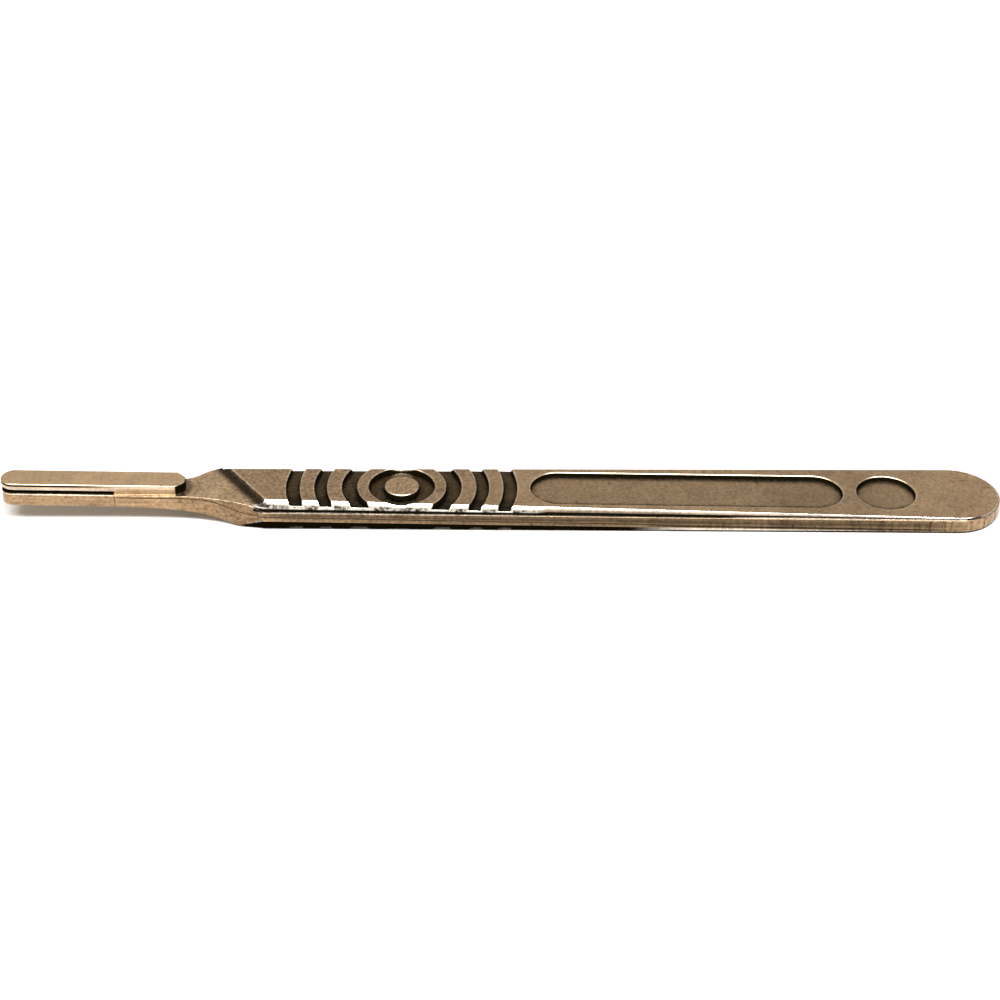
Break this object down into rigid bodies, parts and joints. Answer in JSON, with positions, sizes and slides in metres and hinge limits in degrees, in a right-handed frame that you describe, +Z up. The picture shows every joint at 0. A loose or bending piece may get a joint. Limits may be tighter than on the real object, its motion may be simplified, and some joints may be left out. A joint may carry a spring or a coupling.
{
  "type": "scalpel handle",
  "caption": "Flat one-piece metal scalpel handle with a stepped blade fitting, a grip of concentric grooves, sunk panels and a rounded tail.",
  "frame": {"origin": "on the ground under the middle of the bounding box", "axes": "+X from the tip of the blade fitting to the rounded tail, +Z up out of the face with the sunk panels, the handle lying on its other face"},
  "size_m": [0.131, 0.012, 0.0059],
  "materials": {
    "steel": "satin"
  },
  "bodies": {
    "root": {"handle": "steel"}
  },
  "joints": []
}
